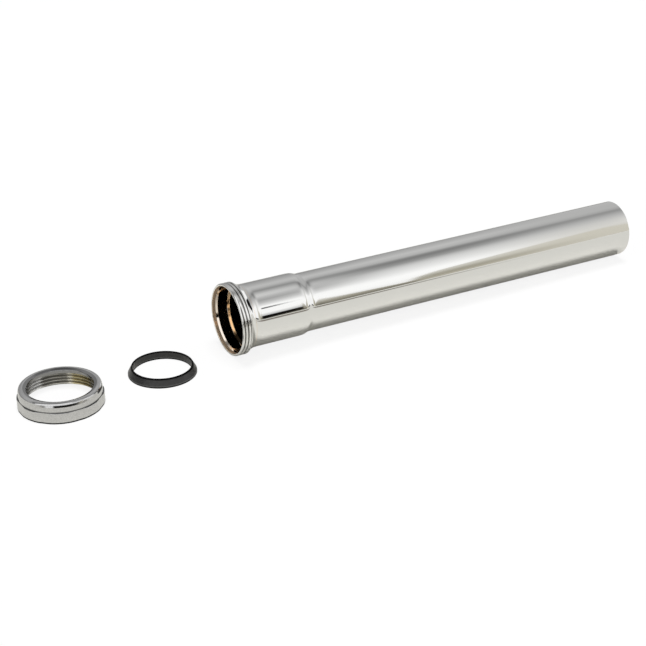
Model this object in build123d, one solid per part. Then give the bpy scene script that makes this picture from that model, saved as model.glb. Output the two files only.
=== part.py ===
"""Slip-joint drain extension tube with its slip nut and bevelled washer.

The tube lies on its side, on the crest of its threaded mouth and on its
plain end. The washer and the nut lie loose in front of the mouth, in the
order in which they go onto the pipe that enters the socket.

Millimetres. +X runs along the tube, from the mouth to the plain end. +Z is
up, and the floor is z = 0. The origin is under the middle of everything.
"""
import math
import os

from build123d import *

# Tube: drawn in one piece, with one end swaged out to a socket
tube_outer_radius = 19.05
tube_wall = 1.14
tube_length = 304.8
plain_end_break = 0.25

# Socket and neck
slip_clearance = 0.25
neck_centre = 50.0
neck_length = 7.4

# Mouth: a thicker ring that carries the thread, opened to a lead-in
mouth_step = 1.8
mouth_bore_depth = 9.6
bore_shoulder_length = 2.8
ring_wall = 1.3
lead_in_depth = 2.4
lead_in_angle = 8.0
chamfer_length = 1.3
chamfer_width = 0.5
lip_round = 0.9
lip_inner_round = 0.4

# Thread: its form is left to the finish, so every threaded face stands at its crest
thread_depth = 1.0
thread_play = 0.1
thread_band_length = 6.4
run_out_length = 2.2
run_out_drop = 1.6
flare_length = 6.4

# Slip nut: a crown with a round ridge, on a skirt with shallow wrench flats
nut_height = 13.1
nut_wall = 1.8
crown_thickness = 3.2
crown_dish = 1.1
crown_clearance = 1.2
crown_lean = 16.0
crown_wall_round = 1.5
shoulder_drop = 0.95
shoulder_round = 0.6
ridge_setback = 2.5
ridge_round = 1.5
crown_hole_round = 0.4
skirt_height = 7.0
corner_ledge = 0.9
flat_ledge = 0.15
flat_count = 8
flat_draft = 4.5
first_corner_angle = -21.0
skirt_round = 0.4
ledge_round = 0.4
nut_mouth_flare = 1.5
nut_mouth_depth = 1.6

# Slip washer: a rubber ring, bevelled towards the mouth of the socket
washer_height = 5.4
washer_grip = 0.7
washer_room = 1.0
washer_band_height = 1.1
washer_land = 0.85
washer_round = 0.2

# Where the loose pieces lie, as gaps along the floor and steps to the side
washer_gap = 25.2
washer_aside = -1.8
nut_gap = 20.9
nut_aside = -6.65

# Sizes that follow
tube_bore_radius = tube_outer_radius - tube_wall
socket_bore_radius = tube_outer_radius + slip_clearance
socket_outer_radius = socket_bore_radius + tube_wall
neck_start = neck_centre - neck_length / 2
neck_end = neck_centre + neck_length / 2
mouth_bore_radius = socket_bore_radius + mouth_step
bore_shoulder_end = mouth_bore_depth + bore_shoulder_length
chamfer_end = lead_in_depth + chamfer_length
chamfer_radius = mouth_bore_radius + chamfer_width
lead_in_radius = chamfer_radius + lead_in_depth * math.tan(math.radians(lead_in_angle))
thread_root_radius = mouth_bore_radius + ring_wall
thread_crest_radius = thread_root_radius + thread_depth
flare_start = thread_band_length + run_out_length
flare_radius = thread_crest_radius - run_out_drop
flare_end = flare_start + flare_length
nut_thread_radius = thread_root_radius + thread_play
crown_radius = thread_crest_radius + thread_play + nut_wall
crown_hole_radius = tube_outer_radius + crown_clearance
crown_underside = nut_height - crown_thickness
shoulder_height = nut_height - shoulder_drop
shoulder_radius = crown_radius - (shoulder_height - crown_underside) * math.tan(math.radians(crown_lean))
ridge_radius = crown_radius - ridge_setback
skirt_corner_radius = crown_radius + corner_ledge
nut_mouth_radius = thread_crest_radius + thread_play + nut_mouth_flare
washer_hole_radius = tube_outer_radius - washer_grip
washer_top_radius = washer_hole_radius + washer_land
washer_base_radius = nut_thread_radius - washer_room
washer_x = -(washer_gap + washer_base_radius)
nut_x = washer_x - washer_base_radius - nut_gap - skirt_corner_radius

# At rest the far end of the thread and the plain end touch the floor
rest_span = tube_length - plain_end_break - thread_band_length
tilt = math.atan((thread_crest_radius - tube_outer_radius) / rest_span)
mouth_height = thread_crest_radius * math.cos(tilt) + thread_band_length * math.sin(tilt)


def rounded(outline, corner, radius):
    """The outline with the corner nearest to the given point rounded."""
    return fillet(outline.vertices().sort_by_distance(corner)[0], radius)


def swage(start, end):
    """Two arcs, tangent to the axis and to each other, from one radius to another."""
    middle = ((start[0] + end[0]) / 2, (start[1] + end[1]) / 2)
    ahead = math.copysign(1, end[0] - start[0])
    TangentArc(start, middle, tangent=(ahead, 0))
    TangentArc(end, middle, tangent=(-ahead, 0))


def tube_section():
    """Half section of the tube's wall, x from the lip along the axis, y outwards."""
    with BuildSketch() as section:
        with BuildLine():
            Polyline(
                (chamfer_end, mouth_bore_radius),
                (lead_in_depth, chamfer_radius),
                (0, lead_in_radius),
                (0, thread_crest_radius),
                (thread_band_length, thread_crest_radius),
                (flare_start, flare_radius),
            )
            TangentArc((flare_end, socket_outer_radius), (flare_start, flare_radius), tangent=(-1, 0))
            Line((flare_end, socket_outer_radius), (neck_start, socket_outer_radius))
            swage((neck_start, socket_outer_radius), (neck_end, tube_outer_radius))
            Polyline(
                (neck_end, tube_outer_radius),
                (tube_length - plain_end_break, tube_outer_radius),
                (tube_length, tube_outer_radius - plain_end_break),
                (tube_length, tube_bore_radius),
                (neck_end, tube_bore_radius),
            )
            swage((neck_end, tube_bore_radius), (neck_start, socket_bore_radius))
            Line((neck_start, socket_bore_radius), (bore_shoulder_end, socket_bore_radius))
            swage((bore_shoulder_end, socket_bore_radius), (mouth_bore_depth, mouth_bore_radius))
            Line((mouth_bore_depth, mouth_bore_radius), (chamfer_end, mouth_bore_radius))
        make_face()
    outline = rounded(section.sketch, (0, thread_crest_radius), lip_round)
    return rounded(outline, (0, lead_in_radius), lip_inner_round)


def extension_tube():
    """The tube, laid down so that its thread and its plain end touch the floor."""
    wall = revolve(tube_section(), Axis.X)
    return Pos(0, 0, mouth_height) * Rot(0, math.degrees(tilt), 0) * wall


def nut_section():
    """Half section of the nut, x from its axis outwards, y up from the floor."""
    outline = make_face(
        Polyline(
            (nut_thread_radius, nut_mouth_depth),
            (nut_mouth_radius, 0),
            (skirt_corner_radius, 0),
            (skirt_corner_radius, skirt_height),
            (crown_radius, skirt_height),
            (crown_radius, crown_underside),
            (shoulder_radius, shoulder_height),
            (ridge_radius, nut_height),
            (crown_hole_radius, nut_height - crown_dish),
            (crown_hole_radius, crown_underside),
            (nut_thread_radius, crown_underside),
            close=True,
        )
    )
    outline = rounded(outline, (crown_radius, crown_underside), crown_wall_round)
    outline = rounded(outline, (shoulder_radius, shoulder_height), shoulder_round)
    outline = rounded(outline, (ridge_radius, nut_height), ridge_round)
    outline = rounded(outline, (crown_hole_radius, nut_height - crown_dish), crown_hole_round)
    outline = rounded(outline, (crown_radius, skirt_height), ledge_round)
    outline = rounded(outline, (skirt_corner_radius, skirt_height), skirt_round)
    return rounded(outline, (skirt_corner_radius, 0), skirt_round)


def beside_the_flats():
    """What the wrench flats take off the skirt: all that is outside a tapered prism."""
    top_flat_radius = crown_radius + flat_ledge
    base_flat_radius = top_flat_radius + skirt_height * math.tan(math.radians(flat_draft))
    prism = extrude(
        RegularPolygon(base_flat_radius, flat_count, major_radius=False, rotation=first_corner_angle),
        skirt_height,
        taper=flat_draft,
    )
    stock = extrude(Circle(2 * skirt_corner_radius), skirt_height)
    return stock - prism


def slip_nut():
    """The nut, lying on its open end with the crown up."""
    body = revolve(Plane.XZ * nut_section(), Axis.Z)
    return Pos(nut_x, nut_aside, 0) * (body - beside_the_flats())


def slip_washer():
    """The washer, lying on its flat base with the bevel up."""
    outline = make_face(
        Polyline(
            (washer_hole_radius, 0),
            (washer_base_radius, 0),
            (washer_base_radius, washer_band_height),
            (washer_top_radius, washer_height),
            (washer_hole_radius, washer_height),
            close=True,
        )
    )
    outline = fillet(outline.vertices(), washer_round)
    return Pos(washer_x, washer_aside, 0) * revolve(Plane.XZ * outline, Axis.Z)


pieces = {
    "extension_tube": extension_tube(),
    "slip_nut": slip_nut(),
    "slip_washer": slip_washer(),
}
middle = Compound(list(pieces.values())).bounding_box().center()
to_origin = Pos(-middle.X, -middle.Y, 0)

os.makedirs("parts", exist_ok=True)
for name, piece in pieces.items():
    export_step(to_origin * piece, f"parts/{name}.step")
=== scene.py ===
import math

import bpy
import numpy as np
from mathutils import Matrix, Vector


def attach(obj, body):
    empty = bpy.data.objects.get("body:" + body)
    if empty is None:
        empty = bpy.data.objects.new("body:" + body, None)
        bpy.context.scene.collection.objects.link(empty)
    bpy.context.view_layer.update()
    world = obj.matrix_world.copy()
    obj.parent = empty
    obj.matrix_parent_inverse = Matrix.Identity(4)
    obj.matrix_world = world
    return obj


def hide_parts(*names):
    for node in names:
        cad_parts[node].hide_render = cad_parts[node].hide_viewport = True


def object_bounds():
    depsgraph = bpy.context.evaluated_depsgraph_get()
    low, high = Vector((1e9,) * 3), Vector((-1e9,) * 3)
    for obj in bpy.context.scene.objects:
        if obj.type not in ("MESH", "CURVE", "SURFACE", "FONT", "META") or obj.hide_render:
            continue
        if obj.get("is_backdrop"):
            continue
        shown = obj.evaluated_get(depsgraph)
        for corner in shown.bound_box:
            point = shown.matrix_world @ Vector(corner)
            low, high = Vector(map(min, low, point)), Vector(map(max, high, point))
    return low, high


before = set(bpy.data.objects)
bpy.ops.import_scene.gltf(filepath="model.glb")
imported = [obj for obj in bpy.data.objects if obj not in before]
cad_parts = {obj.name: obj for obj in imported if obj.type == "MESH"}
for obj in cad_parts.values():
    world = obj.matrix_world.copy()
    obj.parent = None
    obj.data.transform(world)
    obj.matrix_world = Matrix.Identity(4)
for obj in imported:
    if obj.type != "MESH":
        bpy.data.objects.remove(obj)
cadLow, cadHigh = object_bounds()
metresPerMm = 0.001


# Shader helpers

# Gives each named or numbered input of a node its value, or joins it to a socket.
def setInputs(tree, node, inputs):
    for key, value in inputs.items():
        if isinstance(value, bpy.types.NodeSocket):
            tree.links.new(value, node.inputs[key])
        else:
            node.inputs[key].default_value = value


# Adds a node of a kind, with its fields and its inputs.
def addNode(tree, kind, inputs, **fields):
    node = tree.nodes.new(kind)
    for field, value in fields.items():
        setattr(node, field, value)
    setInputs(tree, node, inputs)
    return node


# One step of arithmetic on numbers or sockets.
def calc(tree, operation, *values):
    node = addNode(tree, "ShaderNodeMath", dict(enumerate(values)), operation=operation)
    return node.outputs[0]


# Runs straight from the first of a pair to the second while the value goes from start to end.
def scaleTo(tree, value, pair, start=0.0, end=1.0):
    inputs = {
        "Value": value, "From Min": start, "From Max": end, "To Min": pair[0], "To Max": pair[1]}
    return addNode(tree, "ShaderNodeMapRange", inputs).outputs[0]


# The angle in degrees whose tangent is the rise over the run.
def angleOf(tree, rise, run):
    return calc(tree, "MULTIPLY", calc(tree, "ARCTAN2", rise, run), math.degrees(1))


# Rises smoothly from 0 at start to 1 at end, and falls if start is the larger.
def fadeBetween(tree, value, start, end):
    inputs = {"Value": value, "From Min": start, "From Max": end, "To Min": 0.0, "To Max": 1.0}
    node = addNode(
        tree, "ShaderNodeMapRange", inputs, interpolation_type="SMOOTHSTEP", clamp=True)
    return node.outputs[0]


# Is 1 between a rise and a fall, and 0 outside them: the product of two fades.
def windowBetween(tree, value, rise, fall):
    return calc(
        tree, "MULTIPLY", fadeBetween(tree, value, *rise), fadeBetween(tree, value, *fall))


# A colour that shows on screen at a level. Each step of warmth lifts red by 0.3 of the level and
# takes the whole level off blue. The screen's own curve is undone.
def screenTone(level, warmth=0.0):
    tones = np.array([level * (1 + 0.3 * warmth), level, level * (1 - warmth)])
    linear = np.where(tones > 0.04, ((tones + 0.055) / 1.055) ** 2.4, tones / 12.92)
    return (*np.clip(linear, 0, 1).tolist(), 1.0)


# A run of tones along a factor, with its stops as (place, screen level) or (place, level, warmth).
def toneRun(tree, factor, span, stops):
    share = calc(tree, "DIVIDE", factor, span)
    node = addNode(tree, "ShaderNodeValToRGB", {"Fac": share})
    elements = node.color_ramp.elements
    for place, *tone in stops[1:-1]:
        elements.new(place / span).color = screenTone(*tone)
    for element, (place, *tone) in ((elements[0], stops[0]), (elements[-1], stops[-1])):
        element.position = place / span
        element.color = screenTone(*tone)
    return node.outputs["Color"]


# Mixes two colours by a factor: all the first at 0, all the second at 1.
def mixTones(tree, factor, first, second):
    node = tree.nodes.new("ShaderNodeMix")
    node.data_type = "RGBA"
    colours = [socket for socket in node.inputs if socket.type == "RGBA"]
    tree.links.new(factor, node.inputs[0])
    for socket, colour in zip(colours, (first, second)):
        if isinstance(colour, bpy.types.NodeSocket):
            tree.links.new(colour, socket)
        else:
            socket.default_value = colour
    return [socket for socket in node.outputs if socket.type == "RGBA"][0]


# A height that follows (place, height) points, straight between them.
def followCurve(tree, value, points):
    low, high = points[0][0], points[-1][0]
    top = max(height for place, height in points)
    share = calc(tree, "DIVIDE", calc(tree, "SUBTRACT", value, low), high - low)
    node = addNode(tree, "ShaderNodeFloatCurve", {"Value": share})
    curve = node.mapping.curves[0]
    for place, height in points[1:-1]:
        curve.points.new((place - low) / (high - low), height / top)
    curve.points[0].location = (0, points[0][1] / top)
    curve.points[-1].location = (1, points[-1][1] / top)
    for point in curve.points:
        point.handle_type = "VECTOR"
    node.mapping.update()
    return calc(tree, "MULTIPLY", node.outputs[0], top)


# Starts a material with a principled shader, and sets the inputs that are named.
def newMaterial(name, **inputs):
    material = bpy.data.materials.new(name)
    material.use_nodes = True
    tree = material.node_tree
    shader = tree.nodes["Principled BSDF"]
    setInputs(tree, shader, inputs)
    return material, tree, shader


# Reads a number that is stored at a piece's vertices.
def readShare(tree, name):
    return addNode(tree, "ShaderNodeAttribute", {}, attribute_name=name).outputs["Fac"]


# Fine grain from noise on the piece's own coordinates, which also lifts the surface a little.
def addGrain(tree, shader, place, grain):
    noise = addNode(tree, "ShaderNodeTexNoise", {
        "Vector": place, "Scale": grain["scale"], "Detail": grain["detail"]}).outputs[0]
    bump = addNode(tree, "ShaderNodeBump", {
        "Height": noise, "Strength": grain["strength"], "Distance": grain["lift"]})
    tree.links.new(bump.outputs[0], shader.inputs["Normal"])
    return noise


# Studio

# Heights are degrees round the tube's own line, from the front horizon over the top. Leans are the
# direction's share along the tube. Headings are degrees round the vertical, from the mouth's side
# past the front. A pair of numbers is a fade, from where it starts to where it ends.
studioSettings = {
    "mirrorShare": 0.8,
    "fillShare": 0.355,
    "sunStrength": 1.95,
    "sunSpread": 26.0,
    "sunLean": (-3.0, 4.0),
    "overSocket": [
        (8, 0.62), (16, 0.84), (21, 0.97), (44, 0.98), (50, 0.87), (58, 0.74), (68, 0.63),
        (75, 0.68), (86, 0.79), (93, 0.77), (104, 0.63), (110, 0.55), (116, 0.61), (124, 0.70),
        (134, 0.73), (152, 0.65), (180, 0.54)],
    "overTube": [
        (4, 0.97), (36, 0.98), (50, 0.91), (68, 0.82), (75, 0.76), (86, 0.59), (98, 0.50),
        (104, 0.49), (110, 0.57), (117, 0.69), (134, 0.74), (152, 0.68), (180, 0.61)],
    "overEnd": [
        (0, 0.75, 0.06), (20, 0.78, 0.04), (42, 0.82, 0.02), (62, 0.78, 0.01), (80, 0.70),
        (98, 0.58), (104, 0.57), (112, 0.65), (124, 0.69), (152, 0.69), (180, 0.69)],
    "overFlare": [
        (8, 0.85), (14, 0.96), (50, 0.97), (62, 0.85), (80, 0.70), (98, 0.58), (112, 0.65),
        (152, 0.69), (180, 0.69)],
    "overNut": [
        (8, 0.62), (14, 0.95), (92, 0.98), (102, 0.50), (112, 0.44), (122, 0.64), (134, 0.73),
        (152, 0.65), (180, 0.54)],
    "socketToTube": (0.42, 0.50),
    "tubeToEnd": (0.515, 0.60),
    "endToFlare": (0.607, 0.632),
    "socketToNut": (0.25, 0.15),
    "seamHeight": 38.2,
    "seamWidth": (2.9, 1.6),
    "seamAlong": ((0.406, 0.413), (0.434, 0.420)),
    "seamTone": (0.12,),
    "horizon": [
        (0, 0.60), (25, 0.60), (30, 0.95), (55, 0.95), (62, 0.85), (122, 0.85), (132, 0.95),
        (226, 0.95), (240, 0.58), (360, 0.58)],
    "screenHeading": ((48.0, 51.0), (121.0, 120.2)),
    "screenTone": (0.03, 0.1),
    "doorwayHeading": ((166.0, 170.0), (203.0, 199.0)),
    "doorwayRises": (0.07, 0.11),
    "doorwayTone": (0.05,),
    "cornerHeading": ((128.0, 131.0), (151.0, 148.0)),
    "cornerStops": (0.08, 0.05),
    "cornerTone": (0.06,),
    "drapeHeading": ((293.0, 298.0), (345.0, 341.0)),
    "drapeStops": (0.10, 0.06),
    "drapeTone": (0.05,),
    "lowSpan": 40.0,
    "fold": [(0, 0.44, 0.10), (2, 0.46, 0.10), (10, 0.60, 0.08), (20, 0.76, 0.05), (30, 0.86, 0.02)],
    "shelf": [
        (0, 0.68, 0.08), (3, 0.66, 0.09), (8, 0.60, 0.09), (13, 0.63, 0.08), (20, 0.75, 0.05),
        (30, 0.82, 0.03)],
    "shelfEndTone": (0.77, 0.06),
    "shelfEnds": (0.52, 0.60),
    "horizonToFold": (0.4365, 0.4405),
    "foldToShelf": (0.494, 0.497),
    "shelfToHorizon": (0.615, 0.645),
    "lowerEdge": [
        (0.40, 11.5), (0.4365, 11.5), (0.4405, 27.0), (0.455, 16.5), (0.478, 10.5), (0.493, 6.5),
        (0.497, 17.0), (0.510, 24.0), (0.540, 29.0), (0.570, 33.0), (0.600, 36.0), (0.630, 12.0),
        (0.740, 12.0), (0.80, 12.0)],
    "edgeSoftness": 0.8,
    "roundToEnd": (0.72, 0.78),
    "endHorizonStops": (0.30, 0.36),
    "gapHeight": ((-1.0, 0.0), (3.0, 1.6)),
    "gapAlong": ((0.405, 0.42), (0.4405, 0.4365)),
    "gapTone": (0.42, 0.12),
    "groundTone": (0.60, 0.08),
    "groundStarts": (0.0, -0.005),
}


# What stands above the lower edge: five runs of tone by height, each fading into the next with the
# lean along the tube, and one thin dark seam over the socket.
def roomAbove(tree, along, height):
    s = studioSettings
    above = toneRun(tree, height, 180.0, s["overSocket"])
    steps = (("socketToTube", "overTube"), ("tubeToEnd", "overEnd"), ("endToFlare", "overFlare"))
    for fade, stops in steps:
        tone = toneRun(tree, height, 180.0, s[stops])
        above = mixTones(tree, fadeBetween(tree, along, *s[fade]), above, tone)
    fromSeam = calc(tree, "ABSOLUTE", calc(tree, "SUBTRACT", height, s["seamHeight"]))
    seam = calc(
        tree, "MULTIPLY", fadeBetween(tree, fromSeam, *s["seamWidth"]),
        windowBetween(tree, along, *s["seamAlong"]))
    above = mixTones(tree, seam, above, screenTone(*s["seamTone"]))
    overNut = toneRun(tree, height, 180.0, s["overNut"])
    return mixTones(tree, fadeBetween(tree, along, *s["socketToNut"]), above, overNut)


# The horizon: one run of tone by heading, with a dark screen, a doorway that starts a little way up,
# and a corner that stops a little way up.
def roomHorizon(tree, heading, upward):
    s = studioSettings
    horizon = toneRun(tree, heading, 360.0, s["horizon"])
    screen = windowBetween(tree, heading, *s["screenHeading"])
    horizon = mixTones(tree, screen, horizon, screenTone(*s["screenTone"]))
    patches = (
        ("doorwayHeading", "doorwayRises", "doorwayTone"),
        ("cornerHeading", "cornerStops", "cornerTone"))
    for window, fade, tone in patches:
        patch = calc(
            tree, "MULTIPLY", windowBetween(tree, heading, *s[window]),
            fadeBetween(tree, upward, *s[fade]))
        horizon = mixTones(tree, patch, horizon, screenTone(*s[tone]))
    return horizon


# What stands below the lower edge: by lean along the tube, the horizon, a brown fold of cloth, a
# pale shelf, and the horizon again.
def roomBelow(tree, along, height, horizon):
    s = studioSettings
    fold = toneRun(tree, height, s["lowSpan"], s["fold"])
    shelf = toneRun(tree, height, s["lowSpan"], s["shelf"])
    shelf = mixTones(
        tree, fadeBetween(tree, along, *s["shelfEnds"]), shelf, screenTone(*s["shelfEndTone"]))
    below = mixTones(tree, fadeBetween(tree, along, *s["horizonToFold"]), horizon, fold)
    below = mixTones(tree, fadeBetween(tree, along, *s["foldToShelf"]), below, shelf)
    return mixTones(tree, fadeBetween(tree, along, *s["shelfToHorizon"]), below, horizon)


# The studio round the object, by direction: its height is the angle round the tube's own line, and
# its heading the angle round the vertical. The room above and the room below meet along a lower edge
# that follows the lean. Then come the far end, a drape, a thin gap over the ground, and the ground.
# The camera sees white, and matt surfaces get only a share of the light, as their fill.
def buildStudio():
    s = studioSettings
    world = bpy.data.worlds.new("studio")
    bpy.context.scene.world = world
    world.use_nodes = True
    tree = world.node_tree
    tree.nodes.clear()
    direction = addNode(tree, "ShaderNodeTexCoord", {}).outputs["Generated"]
    along, across, upward = addNode(tree, "ShaderNodeSeparateXYZ", {0: direction}).outputs
    height = angleOf(tree, upward, calc(tree, "MULTIPLY", across, -1.0))
    heading = calc(tree, "ADD", angleOf(tree, across, along), 180.0)

    above = roomAbove(tree, along, height)
    horizon = roomHorizon(tree, heading, upward)
    below = roomBelow(tree, along, height, horizon)
    overEdge = calc(tree, "SUBTRACT", height, followCurve(tree, along, s["lowerEdge"]))
    overEdge = fadeBetween(tree, overEdge, -s["edgeSoftness"], s["edgeSoftness"])
    around = mixTones(tree, overEdge, below, above)
    atEnd = mixTones(tree, fadeBetween(tree, upward, *s["endHorizonStops"]), horizon, above)
    around = mixTones(tree, fadeBetween(tree, along, *s["roundToEnd"]), around, atEnd)
    drape = calc(
        tree, "MULTIPLY", windowBetween(tree, heading, *s["drapeHeading"]),
        fadeBetween(tree, upward, *s["drapeStops"]))
    around = mixTones(tree, drape, around, screenTone(*s["drapeTone"]))
    gap = calc(
        tree, "MULTIPLY", windowBetween(tree, height, *s["gapHeight"]),
        windowBetween(tree, along, *s["gapAlong"]))
    around = mixTones(tree, gap, around, screenTone(*s["gapTone"]))
    ground = fadeBetween(tree, upward, *s["groundStarts"])
    around = mixTones(tree, ground, around, screenTone(*s["groundTone"]))

    path = addNode(tree, "ShaderNodeLightPath", {})
    fill = calc(tree, "MULTIPLY", path.outputs["Is Diffuse Ray"], s["fillShare"] - 1)
    strength = calc(tree, "DIVIDE", calc(tree, "ADD", fill, 1.0), s["mirrorShare"])
    lit = addNode(tree, "ShaderNodeBackground", {"Color": around, "Strength": strength})
    white = addNode(tree, "ShaderNodeBackground", {"Color": (1, 1, 1, 1), "Strength": 1.0})
    mix = addNode(tree, "ShaderNodeMixShader", {
        0: path.outputs["Is Camera Ray"], 1: lit.outputs[0], 2: white.outputs[0]})
    addNode(tree, "ShaderNodeOutputWorld", {"Surface": mix.outputs[0]})

    sun = bpy.data.lights.new("softSun", "SUN")
    sun.energy = s["sunStrength"]
    sun.angle = math.radians(s["sunSpread"])
    sunObject = bpy.data.objects.new("softSun", sun)
    sunObject.rotation_euler = (*[math.radians(lean) for lean in s["sunLean"]], 0)
    sunObject.visible_glossy = False
    bpy.context.scene.collection.objects.link(sunObject)
    print("studio built")


# Places on the floor are in metres, across the tube or along it.
floorSettings = {
    "halfWidth": 30.0,
    "paper": (0.86, 0.85, 0.80, 1.0),
    "table": (0.26, 0.235, 0.20, 1.0),
    "tableAcross": (-0.18, -0.27),
    "tableAlong": (0.32, 0.19),
    # Painted shade on the far floor, at the foot of a wall; the camera sees white there.
    "wallFoot": (0.38, 0.38, 0.38, 1.0),
    "wallShadeAcross": (0.10, 0.30),
    "cameraWhite": 0.86,
    "cameraPaper": (0.16, 0.16, 0.16, 1.0),
}


# The floor: warm paper, with a darker table past its front edge and grey painted shade behind, at a
# wall's foot. The camera sees it as white with a soft shadow: a little paper that is lit, plus a
# steady glow.
def buildFloor():
    s = floorSettings
    half = s["halfWidth"]
    corners = [(-half, -half, 0), (half, -half, 0), (half, half, 0), (-half, half, 0)]
    mesh = bpy.data.meshes.new("floor")
    mesh.from_pydata(corners, [], [(0, 1, 2, 3)])
    floor = bpy.data.objects.new("floor", mesh)
    bpy.context.scene.collection.objects.link(floor)
    material = bpy.data.materials.new("floorPaper")
    material.use_nodes = True
    tree = material.node_tree
    tree.nodes.clear()
    place = addNode(tree, "ShaderNodeTexCoord", {}).outputs["Object"]
    along, across = addNode(tree, "ShaderNodeSeparateXYZ", {0: place}).outputs[:2]
    onTable = calc(
        tree, "MULTIPLY", fadeBetween(tree, across, *s["tableAcross"]),
        fadeBetween(tree, along, *s["tableAlong"]))
    tone = mixTones(tree, onTable, s["paper"], s["table"])
    tone = mixTones(tree, fadeBetween(tree, across, *s["wallShadeAcross"]), tone, s["wallFoot"])
    paper = addNode(tree, "ShaderNodeBsdfDiffuse", {"Color": tone})
    shown = addNode(tree, "ShaderNodeBsdfDiffuse", {"Color": s["cameraPaper"]})
    glow = addNode(tree, "ShaderNodeEmission", {"Color": (1, 1, 1, 1), "Strength": s["cameraWhite"]})
    white = addNode(tree, "ShaderNodeAddShader", {0: shown.outputs[0], 1: glow.outputs[0]})
    path = addNode(tree, "ShaderNodeLightPath", {})
    mix = addNode(tree, "ShaderNodeMixShader", {
        0: path.outputs["Is Camera Ray"], 1: paper.outputs[0], 2: white.outputs[0]})
    addNode(tree, "ShaderNodeOutputMaterial", {"Surface": mix.outputs[0]})
    mesh.materials.append(material)
    floor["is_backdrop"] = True
    print("floor built")


# Shapes turned about an axis

# Closed surface from a grid of points in millimetres, rows along the section and columns round the
# axis, both of which come back to their start. The faces are turned round if the volume is negative:
# over all the faces, the sum of the first corner dotted with the cross products of the others.
def ringPiece(name, points, body="root"):
    rows, columns = points.shape[:2]
    index = np.arange(rows * columns).reshape(rows, columns)
    nextRow = np.roll(index, -1, axis=0)
    faces = np.stack(
        [index, np.roll(index, -1, axis=1), np.roll(nextRow, -1, axis=1), nextRow], axis=-1)
    faces = faces.reshape(-1, 4)
    flat = points.reshape(-1, 3)
    corners = flat[faces]
    crossed = np.cross(corners[:, 1], corners[:, 2]) + np.cross(corners[:, 2], corners[:, 3])
    if np.einsum("ij,ij->", corners[:, 0], crossed) < 0:
        faces = faces[:, ::-1]
    mesh = bpy.data.meshes.new(name)
    mesh.from_pydata((flat * metresPerMm).tolist(), [], faces.tolist())
    mesh.polygons.foreach_set("use_smooth", np.ones(len(faces), dtype=bool))
    mesh.update()
    piece = bpy.data.objects.new(name, mesh)
    bpy.context.scene.collection.objects.link(piece)
    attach(piece, body)
    return piece


# Turns a grid of (reach, height) about the vertical through a centre.
def turnedUpright(grid, angle, centre):
    return np.stack([
        centre[0] + grid[..., 0] * np.cos(angle),
        centre[1] + grid[..., 0] * np.sin(angle),
        grid[..., 1]], axis=-1)


# Stores a number from 0 to 1 at each vertex, for the material to read.
def addShares(piece, name, values):
    attribute = piece.data.attributes.new(name, "FLOAT", "POINT")
    attribute.data.foreach_set("value", values.reshape(-1).astype(np.float32))


# Points from start to end, closer together near both ends.
def straightRun(start, end, count):
    share = (1 - np.cos(np.linspace(0, math.pi, count))) / 2
    return np.array(start) + share[:, None] * (np.array(end) - np.array(start))


# One arc that leaves its first point level: its radius is the chord squared over twice its rise.
def levelArc(first, last, count):
    run, rise = np.array(last, float) - np.array(first, float)
    radius = (run ** 2 + rise ** 2) / (2 * abs(rise))
    turn = np.linspace(0, 2 * math.atan2(abs(rise), abs(run)), count)
    x = first[0] + math.copysign(radius, run) * np.sin(turn)
    y = first[1] + math.copysign(radius, rise) * (1 - np.cos(turn))
    return np.stack([x, y], axis=1)


# Two arcs that leave and arrive level, and meet half way.
def swageRun(start, end, count):
    middle = (np.array(start, float) + np.array(end, float)) / 2
    return np.concatenate(
        [levelArc(start, middle, count)[:-1], levelArc(end, middle, count)[::-1]])


# A hollow curve from one point down to another, steepest at its start: the share left, to a power.
def flareRun(start, end, power, count):
    share = np.linspace(0, 1, count)
    x = start[0] + share * (end[0] - start[0])
    return np.stack([x, end[1] + (start[1] - end[1]) * (1 - share) ** power], axis=1)


# A soft step between two heights: the hyperbolic tangent of the distance from the middle over the
# softness, divided by its value at the end so that it arrives there exactly.
def softStep(first, last, softness, count):
    (start, low), (end, high) = first, last
    x = np.linspace(start, end, count)
    step = np.tanh((x - (start + end) / 2) / softness) / np.tanh((end - start) / 2 / softness)
    return np.stack([x, (low + high) / 2 + (high - low) / 2 * step], axis=1)


# A corner between two neighbours, rounded to a radius by a tangent arc that starts at the radius over
# the tangent of half the corner's angle, with a guard point on each side that keeps the flat beside
# it flat in the shading.
def roundCorner(before, corner, after, radius, count=8, guard=0.06):
    before, corner, after = (np.array(point, float) for point in (before, corner, after))
    back = (before - corner) / np.linalg.norm(before - corner)
    ahead = (after - corner) / np.linalg.norm(after - corner)
    half = math.acos(np.clip(back @ ahead, -1, 1)) / 2
    reach = radius / math.tan(half)
    centre = corner + (back + ahead) / np.linalg.norm(back + ahead) * radius / math.sin(half)
    start, end = corner + back * reach, corner + ahead * reach
    share = np.linspace(0, 1, count)[:, None]
    turn = math.pi - 2 * half
    fromStart = np.sin((1 - share) * turn) * (start - centre)
    fromEnd = np.sin(share * turn) * (end - centre)
    arc = centre + (fromStart + fromEnd) / math.sin(turn)
    return np.concatenate([[start + back * guard], arc, [end + ahead * guard]])


# Tube

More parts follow.
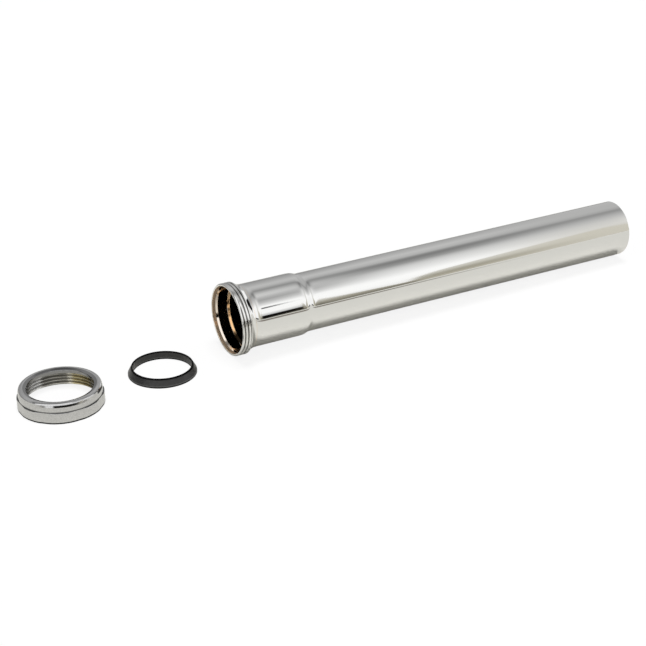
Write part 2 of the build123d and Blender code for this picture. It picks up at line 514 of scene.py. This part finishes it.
# Lengths are millimetres from the mouth's lip, and radii from the tube's axis. Turns are shares of a
# turn round it, from the back over the top.
tubeSettings = {
    "columns": 256,
    "mouthCentre": (-81.8434, 4.6526, 23.4909),
    "tilt": 0.83588,
    "length": 304.8,
    "tubeRadius": 19.05,
    "tubeBore": 17.91,
    "endRound": 0.25,
    "endInnerRound": 0.12,
    "endStart": 0.5,
    "socketRadius": 20.44,
    "socketBore": 19.3,
    "neck": (46.3, 53.7),
    "neckMargin": 3.0,
    "neckSoftness": 1.9,
    "flareStart": (8.6, 21.8),
    "flareEnd": 16.5,
    "flareEase": 3.0,
    "boreShoulder": (10.5, 11.3),
    "boreShoulderRound": 0.15,
    "boreShoulderClear": 0.4,
    "mouthBore": 21.1,
    "chamfer": (3.7, 21.1),
    "chamferRound": 0.4,
    "chamferClear": 0.2,
    "leadIn": (2.4, 21.6),
    "leadInRound": 0.5,
    "mouthEdge": 21.9373,
    "lipRound": 0.9,
    "lipGuard": 0.02,
    "lipInnerRound": 0.4,
    "crest": 23.39,
    "bandEnd": 6.4,
    "bandEndRound": 0.3,
    "bandClear": (0.05, 0.3),
    "bandReach": (0.5, 0.3),
    "openingReach": (0.3, 0.05),
    "leadInClear": 0.1,
    "mouthBoreClear": 0.3,
    "shoulderReach": 0.2,
    "pitch": 2.2,
    "grooveDepth": 1.0,
    "grooveWidth": 1.6,
    "groovePlace": 1.4,
    "grooveHeading": 60.0,
    "threadFadesIn": (0.3, 1.0),
    "threadFadesOut": (5.6, 6.4),
    "lateTurn": 0.14,
    "lateSlope": 3.0,
    "lateMiddle": 0.1,
    "lateShift": 1.9,
    "leadInBrass": 0.8,
    "leadInWear": 0.5,
    "chamferBrass": 0.35,
    "mouthBrass": 0.7,
    # Painted shade inside, nearly black: the mouth's bore round two turns, behind the shoulder, and
    # deep inside.
    "borePaintedShade": 1.0,
    "boreShadeTurns": ((0.20, 0.17), (0.73, 0.09)),
    "shoulderShadeTurn": (0.73, 0.105),
    "shadeFade": 0.03,
    "deepPaintedShade": 0.7,
    "deepEnds": 12.0,
    "chromeTone": (0.80, 0.80, 0.79, 1),
    "brassTone": (0.96, 0.70, 0.44, 1),
    "grooveShadeTone": (0.24, 0.235, 0.225, 1),
    "grooveShadeFade": (0.25, 0.9),
    "paintedShadeTone": (0.05, 0.035, 0.02, 1),
    "roughness": (0.05, 0.12),
    "rows": {
        "lip": 12, "thread": 72, "flare": 26, "socket": 14, "neck": 48, "plain": 26,
        "endOuter": 6, "endInner": 5, "tubeBore": 20, "innerNeck": 8, "socketBore": 10,
        "boreShoulder": 6, "mouthBore": 6, "chamfer": 6, "leadIn": 6},
}


# Half section of the tube's wall as (distance from the mouth, radius), once round: out along the
# outside from the lip, and back along the inside.
def tubeSection():
    s, rows = tubeSettings, tubeSettings["rows"]
    end, bandEnd = s["length"], s["bandEnd"]
    neckStart, neckEnd = s["neck"]
    lipInside, lipOutside, bandCorner = (0, s["mouthEdge"]), (0, s["crest"]), (bandEnd, s["crest"])
    flareFoot = (s["flareEnd"], s["socketRadius"])
    socketEnd = (neckStart - s["neckMargin"], s["socketRadius"])
    plainStart = (neckEnd + s["neckMargin"], s["tubeRadius"])
    outerEnd, innerEnd = (end, s["tubeRadius"]), (end, s["tubeBore"])
    outerNeckEnd, innerNeckEnd = (neckEnd, s["tubeRadius"]), (neckEnd, s["tubeBore"])
    innerNeckStart = (neckStart, s["socketBore"])
    shoulderTop = (s["boreShoulder"][0], s["mouthBore"])
    shoulderFoot = (s["boreShoulder"][1], s["socketBore"])
    beforeShoulder = shoulderTop[0] - s["boreShoulderClear"]
    pastShoulder = shoulderFoot[0] + s["boreShoulderClear"]
    pastChamfer = s["chamfer"][0] + s["chamferClear"]
    bandRun = [s["lipRound"] + s["bandClear"][0], bandEnd - s["bandClear"][1]]
    shoulderRound = s["boreShoulderRound"]
    return np.concatenate([
        roundCorner(s["leadIn"], lipInside, lipOutside, s["lipInnerRound"]),
        roundCorner(lipInside, lipOutside, bandCorner, s["lipRound"], rows["lip"], s["lipGuard"]),
        straightRun((bandRun[0], s["crest"]), (bandRun[1], s["crest"]), rows["thread"]),
        roundCorner(lipOutside, bandCorner, s["flareStart"], s["bandEndRound"]),
        flareRun(s["flareStart"], flareFoot, s["flareEase"], rows["flare"]),
        straightRun(flareFoot, socketEnd, rows["socket"])[1:],
        softStep(socketEnd, plainStart, s["neckSoftness"], rows["neck"])[1:-1],
        straightRun(plainStart, (end - s["endStart"], s["tubeRadius"]), rows["plain"])[:-1],
        roundCorner(outerNeckEnd, outerEnd, innerEnd, s["endRound"], rows["endOuter"]),
        roundCorner(outerEnd, innerEnd, innerNeckEnd, s["endInnerRound"], rows["endInner"]),
        straightRun((end - s["endStart"], s["tubeBore"]), innerNeckEnd, rows["tubeBore"])[1:-1],
        swageRun(innerNeckEnd, innerNeckStart, rows["innerNeck"]),
        straightRun(innerNeckStart, (pastShoulder, s["socketBore"]), rows["socketBore"])[1:],
        roundCorner(innerNeckStart, shoulderFoot, shoulderTop, shoulderRound, rows["boreShoulder"]),
        roundCorner(shoulderFoot, shoulderTop, s["chamfer"], shoulderRound, rows["boreShoulder"]),
        straightRun(
            (beforeShoulder, s["mouthBore"]), (pastChamfer, s["mouthBore"]), rows["mouthBore"]),
        roundCorner(shoulderTop, s["chamfer"], s["leadIn"], s["chamferRound"], rows["chamfer"]),
        roundCorner(s["chamfer"], s["leadIn"], lipInside, s["leadInRound"], rows["leadIn"]),
    ])


# How deep the thread is cut at each place: a wave that winds on by one pitch a turn, narrowed by a
# power, and faded in and out smoothly. It starts later on the side round the late turn.
def threadCut(distance, turn):
    s = tubeSettings
    phase = 0.5 - s["groovePlace"] / s["pitch"] + (90 + s["grooveHeading"]) / 360
    wave = 0.5 - 0.5 * np.cos(2 * math.pi * (distance / s["pitch"] - turn + phase))
    fromLate = np.cos(2 * math.pi * (turn - s["lateTurn"]))
    late = np.clip(0.5 + s["lateSlope"] * (fromLate - s["lateMiddle"]), 0, 1)
    start, full = (place + s["lateShift"] * late for place in s["threadFadesIn"])
    fading, gone = s["threadFadesOut"]
    rise = np.clip((distance - start) / (full - start), 0, 1)
    fall = np.clip((gone - distance) / (gone - fading), 0, 1)
    ease = rise * rise * (3 - 2 * rise) * fall * fall * (3 - 2 * fall)
    return s["grooveDepth"] * wave ** s["grooveWidth"] * ease


# What the section's rows are made of: how much brass shows on each, how worn it is, and which are
# the mouth's bore, its shoulder and the deep inside, which get painted shade.
def tubeRowsInside(section):
    s = tubeSettings
    distance, radius = section.T
    shoulderStart, shoulderEnd = s["boreShoulder"]
    inside = np.arange(len(section)) >= np.argmax(distance)
    pastChamfer, pastEdge = s["openingReach"]
    opening = (distance < s["chamfer"][0] + pastChamfer) & (radius < s["mouthEdge"] + pastEdge)
    leadInEnd, leadInFoot = s["leadIn"]
    leadIn = opening & (distance < leadInEnd - s["leadInClear"]) & (radius > leadInFoot)
    brass = np.where(inside & (distance < shoulderStart), s["mouthBrass"], 1.0 * inside)
    brass = np.where(opening, s["chamferBrass"], brass)
    brass = np.where(leadIn, s["leadInBrass"], brass)
    nearShoulder = distance < shoulderEnd + s["shoulderReach"]
    bore = inside & (distance < shoulderStart - s["mouthBoreClear"]) & ~opening
    shoulder = inside & nearShoulder & ~opening & ~bore
    deep = inside & ~nearShoulder & (distance < s["length"] - s["deepEnds"])
    return brass, s["leadInWear"] * leadIn, bore, shoulder, deep


# The tube with its thread, laid on its thread and its plain end. Its attributes say how much brass
# shows (bare), how far the groove is cut (groove), how worn the plating is (worn), and how much
# shade is painted, nearly black, on the inside.
def buildTube():
    s = tubeSettings
    section = tubeSection()
    turn = np.arange(s["columns"]) / s["columns"]
    distance, radius = section[:, 0, None], section[:, 1, None]
    pastEdge, pastBand = s["bandReach"]
    onBand = (radius > s["mouthEdge"] + pastEdge) & (distance < s["bandEnd"] + pastBand)
    cut = np.where(onBand, threadCut(distance, turn[None]), 0)
    side = (radius - cut) * np.cos(2 * math.pi * turn)
    lift = (radius - cut) * np.sin(2 * math.pi * turn)
    tilt = math.radians(s["tilt"])
    points = np.stack([
        s["mouthCentre"][0] + distance * math.cos(tilt) + lift * math.sin(tilt),
        s["mouthCentre"][1] + side,
        s["mouthCentre"][2] - distance * math.sin(tilt) + lift * math.cos(tilt)], axis=-1)
    piece = ringPiece("tubeShell", points)

    brass, worn, bore, shoulder, deep = tubeRowsInside(section)
    # Painted shade for the inside: windows round the turn for the bore and the shoulder, and all the
    # deep rows.
    top, foot, behind = [
        np.clip(1 + (half - np.abs(turn - middle)) / s["shadeFade"], 0, 1)
        for middle, half in (*s["boreShadeTurns"], s["shoulderShadeTurn"])]
    paintedShade = s["borePaintedShade"] * (bore[:, None] * np.maximum(top, foot) + shoulder[:, None] * behind)
    addShares(piece, "bare", np.repeat(brass, s["columns"]))
    addShares(piece, "groove", cut / s["grooveDepth"])
    addShares(piece, "worn", np.repeat(worn, s["columns"]))
    addShares(piece, "paintedShade", paintedShade + s["deepPaintedShade"] * deep[:, None])
    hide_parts("extension_tube")
    piece.data.materials.append(tubeMaterial())
    print("tube built,", len(piece.data.polygons) * 2, "triangles")


# Bright chrome outside with painted shade in the thread's grooves, and polished brass where bare is
# 1, less metallic where it is worn, and painted nearly black as shade deep inside and in the mouth's
# bore.
def tubeMaterial():
    s = tubeSettings
    material, tree, shader = newMaterial("tubeChrome")
    bare = readShare(tree, "bare")
    grooveShade = fadeBetween(tree, readShare(tree, "groove"), *s["grooveShadeFade"])
    tone = mixTones(tree, bare, s["chromeTone"], s["brassTone"])
    # The grooves get painted shade: a darker tone where the cut is deep.
    tone = mixTones(tree, grooveShade, tone, s["grooveShadeTone"])
    tone = mixTones(tree, readShare(tree, "paintedShade"), tone, s["paintedShadeTone"])
    metallic = calc(tree, "SUBTRACT", 1.0, readShare(tree, "worn"))
    setInputs(tree, shader, {
        "Base Color": tone, "Metallic": metallic, "Roughness": scaleTo(tree, bare, s["roughness"])})
    return material


# Slip nut

# Heights are millimetres from the floor, and radii from the nut's axis.
nutSettings = {
    "columns": 480,
    "centre": (-197.1434, -1.9974),
    "threadRadius": 22.5,
    "threadRoot": 23.7,
    "threadTurn": 0.3,
    "threadWidth": 0.8,
    "threadFade": 0.8,
    "pitch": 2.1,
    "crownRadius": 25.3,
    "crownHole": 20.25,
    "crownUnderside": 9.9,
    "undersideRound": 0.2,
    "wallFoot": 0.12,
    "wallTop": 10.3,
    "wallRound": 1.5,
    "shoulder": (24.72, 12.4),
    "shoulderRound": 1.5,
    "ridge": (22.8, 13.03),
    "ridgeRound": 1.5,
    "holeEdge": 12.0,
    "holeRound": 0.4,
    "cornerRadius": 26.2,
    "cornerSoftness": 0.03,
    "topFlat": 25.45,
    "skirtHeight": 7.0,
    "flatDraft": 4.5,
    "flatCount": 8,
    "firstCorner": -21.0,
    "edgeRound": 0.4,
    "edgeClear": 0.1,
    "ledgeRoundShare": 0.7,
    "leastLedge": 0.05,
    "ledgeShares": (0.1, 0.5, 0.9),
    "mouthRadius": 25.0,
    "mouthDepth": 1.6,
    "mouthLip": (0.15, 0.12),
    "mouthFlat": 0.3,
    "rowGap": 0.05,
    # Painted reflections inside, by heading: a warm run from 202 to 228, a highlight near 234, and a
    # light patch from 282 to 300.
    "paintedInsideReflections": [
        (0, 0.66, 0.05), (195, 0.66, 0.05), (202, 0.74, 0.20), (228, 0.82, 0.18),
        (232, 0.92, 0.1), (234, 0.95, 0.05), (237, 0.95, 0.05), (240, 0.74, 0.05),
        (276, 0.70, 0.03), (282, 0.97), (300, 0.97), (312, 0.70), (360, 0.66, 0.05)],
    "grooveShadeTone": (0.17, 0.05),
    "grooveShadeShare": 0.78,
    "outerTones": (0.50, 0.66),
    "footShadowFade": (1.2, 0.9),
    "footShadowTone": (0.02, 0.02, 0.02, 1),
    "creaseShadeFades": ((6.7, 7.0), (7.7, 7.4)),
    "creaseShadeTone": (0.16, 0.16, 0.16, 1),
    "dishShadeFade": (22.3, 22.0),
    "dishShadeShare": 0.6,
    "dishShadeTone": (0.10, 0.10, 0.10, 1),
    "roughness": (0.09, 0.24),
    "grain": {"scale": 1500.0, "detail": 3.0, "strength": 0.35, "lift": 0.00003},
    "grainSpan": (0.3, 0.7),
    "rows": {
        "base": 7, "wall": 12, "top": 8, "crownWall": 10, "crownShoulder": 12, "ridge": 16,
        "hole": 8, "underside": 5, "thread": 60, "mouth": 6},
}


# How far out the skirt stands at a height and a heading: the round of the corners or the nearest
# leaning flat, whichever is nearer the axis, eased where they meet.
def skirtReach(height, heading):
    s = nutSettings
    step = 360 / s["flatCount"]
    fromFlat = (heading - s["firstCorner"]) % step - step / 2
    flat = s["topFlat"] + (s["skirtHeight"] - height) * math.tan(math.radians(s["flatDraft"]))
    reach = flat / np.cos(np.radians(fromFlat))
    middle, half = (reach + s["cornerRadius"]) / 2, (reach - s["cornerRadius"]) / 2
    return middle - np.sqrt(half ** 2 + s["cornerSoftness"] ** 2)


# The skirt's rows as pairs of reach and height: round the base, up the wall, round the top edge, and
# in over the ledge. Along a round, the reach falls back by the radius less its cosine's share, and
# the top round shrinks with a narrow ledge.
def skirtRows(heading):
    s, rows = nutSettings, nutSettings["rows"]
    edge, skirt, crown, clear = s["edgeRound"], s["skirtHeight"], s["crownRadius"], s["edgeClear"]
    baseTurn = np.linspace(math.pi / 2, 0, rows["base"])[:, None]
    baseHeight = edge * (1 - np.sin(baseTurn))
    baseReach = skirtReach(baseHeight, heading) - edge * (1 - np.cos(baseTurn))
    wallHeight = np.linspace(edge + clear, skirt - edge - clear, rows["wall"])[:, None]
    ledgeWidth = np.maximum(skirtReach(skirt, heading) - crown, s["leastLedge"])
    topRound = np.minimum(edge, s["ledgeRoundShare"] * ledgeWidth)
    topTurn = np.linspace(0, math.pi / 2, rows["top"])[:, None]
    topHeight = skirt - topRound * (1 - np.sin(topTurn))
    topReach = skirtReach(topHeight, heading) - topRound * (1 - np.cos(topTurn))
    ledgeShare = np.array(s["ledgeShares"])[:, None]
    ledgeReach = topReach[-1] + ledgeShare * (crown - topReach[-1])
    return [
        (baseReach, baseHeight), (skirtReach(wallHeight, heading), wallHeight),
        (topReach, topHeight), (ledgeReach, skirt)]


# Section of the crown as (reach, height): up its wall, over its shoulder and its round ridge, down
# the dish and the hole, and out under it.
def crownSection():
    s, rows = nutSettings, nutSettings["rows"]
    crown, skirt, underside = s["crownRadius"], s["skirtHeight"], s["crownUnderside"]
    wallTop, shoulder, ridge = (crown, s["wallTop"]), s["shoulder"], s["ridge"]
    holeEdge, holeFoot = (s["crownHole"], s["holeEdge"]), (s["crownHole"], underside)
    threadTop = (s["threadRoot"], underside)
    return np.concatenate([
        [[crown, skirt + s["wallFoot"]]],
        roundCorner((crown, skirt), wallTop, shoulder, s["wallRound"], rows["crownWall"]),
        roundCorner(wallTop, shoulder, ridge, s["shoulderRound"], rows["crownShoulder"]),
        roundCorner(shoulder, ridge, holeEdge, s["ridgeRound"], rows["ridge"]),
        roundCorner(ridge, holeEdge, holeFoot, s["holeRound"], rows["hole"]),
        roundCorner(holeEdge, holeFoot, threadTop, s["undersideRound"], rows["underside"]),
        [[s["threadRadius"], underside]],
    ])


# The nut: rows up the skirt, over the crown, through the hole, and down the thread, which is a wave
# that winds on by one pitch a turn and fades at the mouth. Its attributes say where the inside is
# (bare) and how far the groove is cut (groove).
def buildNut():
    s, rows = nutSettings, nutSettings["rows"]
    heading = np.arange(s["columns"])[None] * 360 / s["columns"]
    crown = crownSection()
    threadTop = s["crownUnderside"] - s["rowGap"]
    threadHeight = np.linspace(threadTop, s["mouthDepth"], rows["thread"])[:, None]
    turns = threadHeight / s["pitch"] - heading / 360 + s["threadTurn"]
    wave = 0.5 - 0.5 * np.cos(2 * math.pi * turns)
    fade = np.clip((threadHeight - s["mouthDepth"]) / s["threadFade"], 0, 1)
    depth = (s["threadRoot"] - s["threadRadius"]) * wave ** s["threadWidth"] * fade
    lipSide, lipHeight = s["mouthLip"]
    mouth = np.concatenate([
        straightRun(
            (s["threadRadius"], s["mouthDepth"] - s["rowGap"]),
            (s["mouthRadius"] - lipSide, lipHeight), rows["mouth"]),
        [[s["mouthRadius"], 0], [s["mouthRadius"] + s["mouthFlat"], 0]]])
    pairs = [
        *skirtRows(heading), (crown[:, :1], crown[:, 1:]),
        (s["threadRadius"] + depth, threadHeight), (mouth[:, :1], mouth[:, 1:])]
    grid = np.concatenate([
        np.stack(np.broadcast_arrays(reach, height, heading)[:2], axis=-1)
        for reach, height in pairs])
    piece = ringPiece("nutShell", turnedUpright(grid, np.radians(heading), s["centre"]))

    inside = np.zeros(grid.shape[:2])
    inside[-(rows["thread"] + len(mouth)):] = 1
    groove = np.zeros(grid.shape[:2])
    groove[-(rows["thread"] + len(mouth)):-len(mouth)] = wave * fade
    addShares(piece, "bare", inside)
    addShares(piece, "groove", groove)
    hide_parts("slip_nut")
    piece.data.materials.append(nutMaterial())
    print("nut built,", len(piece.data.polygons) * 2, "triangles")


# Chrome on a slightly grainy casting, with painted shade along its base, in the crease over the ledge
# and in the dish. Where bare is 1, inside, it is a dull metal with painted reflections by heading
# round the axis, and painted shade in the thread's grooves.
def nutMaterial():
    s = nutSettings
    material, tree, shader = newMaterial("nutChrome", Metallic=1.0)
    bare = readShare(tree, "bare")
    # Painted shade in the thread's grooves, as a share of how far each is cut.
    groove = calc(tree, "MULTIPLY", readShare(tree, "groove"), s["grooveShadeShare"])
    place = addNode(tree, "ShaderNodeTexCoord", {}).outputs["Object"]
    grain = addGrain(tree, shader, place, s["grain"])
    x, y, height = [
        calc(tree, "DIVIDE", side, metresPerMm)
        for side in addNode(tree, "ShaderNodeSeparateXYZ", {0: place}).outputs]
    eastward = calc(tree, "SUBTRACT", x, s["centre"][0])
    northward = calc(tree, "SUBTRACT", y, s["centre"][1])
    heading = calc(tree, "ADD", angleOf(tree, northward, eastward), 180.0)
    paintedInside = toneRun(tree, heading, 360.0, s["paintedInsideReflections"])
    paintedInside = mixTones(tree, groove, paintedInside, screenTone(*s["grooveShadeTone"]))
    squares = [calc(tree, "POWER", side, 2.0) for side in (eastward, northward)]
    fromAxis = calc(tree, "SQRT", calc(tree, "ADD", *squares))
    # A painted contact shadow, nearly black, along the base where the nut meets the floor.
    foot = fadeBetween(tree, height, *s["footShadowFade"])
    # Painted shade in the crease where the crown rises from the ledge.
    creaseShade = windowBetween(tree, height, *s["creaseShadeFades"])
    # Painted shade in the dish round the hole, inside about 22 mm from the axis.
    dishShade = calc(tree, "MULTIPLY", fadeBetween(tree, fromAxis, *s["dishShadeFade"]), s["dishShadeShare"])
    outer = scaleTo(tree, grain, s["outerTones"], *s["grainSpan"])
    outer = mixTones(tree, foot, outer, s["footShadowTone"])
    outer = mixTones(tree, creaseShade, outer, s["creaseShadeTone"])
    outer = mixTones(tree, dishShade, outer, s["dishShadeTone"])
    setInputs(tree, shader, {
        "Base Color": mixTones(tree, bare, outer, paintedInside),
        "Roughness": scaleTo(tree, bare, s["roughness"])})
    return material


# Slip washer

# Heights are millimetres from the floor, and radii from the washer's axis.
washerSettings = {
    "columns": 256,
    "centre": (-128.5434, 2.8526),
    "hole": 18.35,
    "top": 19.2,
    "base": 21.5,
    "band": 1.1,
    "height": 5.4,
    "round": 0.2,
    "toneSpan": 6.0,
    # Tones by height: a painted shadow at the foot, a painted highlight on the low band's top edge,
    # and nearly black at the top.
    "tones": [
        (0, 0.005), (0.8, 0.005), (0.95, 0.34), (1.3, 0.30), (1.7, 0.16), (4.3, 0.14),
        (4.8, 0.005), (6, 0.005)],
    "sheenFades": ((0.7, 1.0), (4.9, 4.4)),
    "sheen": (0.05, 0.50),
    "roughness": (0.26, 0.50),
    "grain": {"scale": 600.0, "detail": 4.0, "strength": 0.5, "lift": 0.0001},
    "grainSpan": (0.3, 0.7),
}


# The washer: a flat base, a low upright band, a bevel and a narrow top, each corner rounded.
def buildWasher():
    s = washerSettings
    corners = [
        (s["hole"], 0), (s["base"], 0), (s["base"], s["band"]), (s["top"], s["height"]),
        (s["hole"], s["height"])]
    section = np.concatenate([
        roundCorner(corners[index - 1], corner, corners[(index + 1) % len(corners)], s["round"])
        for index, corner in enumerate(corners)])
    angle = np.arange(s["columns"])[None] * 2 * math.pi / s["columns"]
    grid = np.repeat(section[:, None], s["columns"], axis=1)
    piece = ringPiece("washerRing", turnedUpright(grid, angle, s["centre"]))
    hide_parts("slip_washer")
    piece.data.materials.append(rubberMaterial())
    print("washer built,", len(piece.data.polygons) * 2, "triangles")


# Black moulded rubber with a faint sheen, dullest at the top and the foot. Its tone has a painted
# highlight along the top of the low band, a painted shadow at the foot, and is nearly black at the
# top.
def rubberMaterial():
    s = washerSettings
    material, tree, shader = newMaterial("blackRubber")
    place = addNode(tree, "ShaderNodeTexCoord", {}).outputs["Object"]
    upward = addNode(tree, "ShaderNodeSeparateXYZ", {0: place}).outputs[2]
    height = calc(tree, "DIVIDE", upward, metresPerMm)
    grain = addGrain(tree, shader, place, s["grain"])
    sheen = windowBetween(tree, height, *s["sheenFades"])
    setInputs(tree, shader, {
        "Base Color": toneRun(tree, height, s["toneSpan"], s["tones"]),
        "Specular IOR Level": scaleTo(tree, sheen, s["sheen"]),
        "Roughness": scaleTo(tree, grain, s["roughness"], *s["grainSpan"])})
    return material


# Camera

# The place is in millimetres, the turns in degrees, and the focal length in the picture's pixels.
cameraSettings = {
    "place": (-473.750, -836.123, 466.406),
    "yaw": 61.267,
    "pitch": 25.765,
    "roll": -1.335,
    "focalPixels": 1632.754,
    "framePixels": 646.0,
    "sensorWidth": 36.0,
    "shift": (-0.0007, 0.0007),
    "clip": (0.01, 100.0),
}


# The camera looks along the heading and down by the pitch, turned about its own line by the roll.
def buildCamera():
    s = cameraSettings
    yaw, pitch, roll = (math.radians(s[name]) for name in ("yaw", "pitch", "roll"))
    ahead = Vector((
        math.cos(pitch) * math.cos(yaw), math.cos(pitch) * math.sin(yaw), -math.sin(pitch)))
    level = ahead.cross(Vector((0, 0, 1))).normalized()
    upright = level.cross(ahead)
    right = level * math.cos(roll) + upright * math.sin(roll)
    up = upright * math.cos(roll) - level * math.sin(roll)
    camera = bpy.data.cameras.new("photoCamera")
    camera.sensor_width = s["sensorWidth"]
    camera.lens = camera.sensor_width * s["focalPixels"] / s["framePixels"]
    camera.shift_x, camera.shift_y = s["shift"]
    camera.clip_start, camera.clip_end = s["clip"]
    cameraObject = bpy.data.objects.new("photoCamera", camera)
    turned = Matrix((right, up, -ahead)).transposed().to_4x4()
    place = Matrix.Translation(Vector(s["place"]) * metresPerMm)
    cameraObject.matrix_world = place @ turned
    bpy.context.scene.collection.objects.link(cameraObject)
    bpy.context.scene.camera = cameraObject
    print("camera built")


buildStudio()
buildFloor()
buildTube()
buildNut()
buildWasher()
buildCamera()
bpy.context.scene.view_settings.view_transform = "Standard"

shownLow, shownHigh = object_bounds()
for name, box in (("cad", (*cadLow, *cadHigh)), ("shown", (*shownLow, *shownHigh))):
    print("size", name, [round(side / metresPerMm, 3) for side in box])
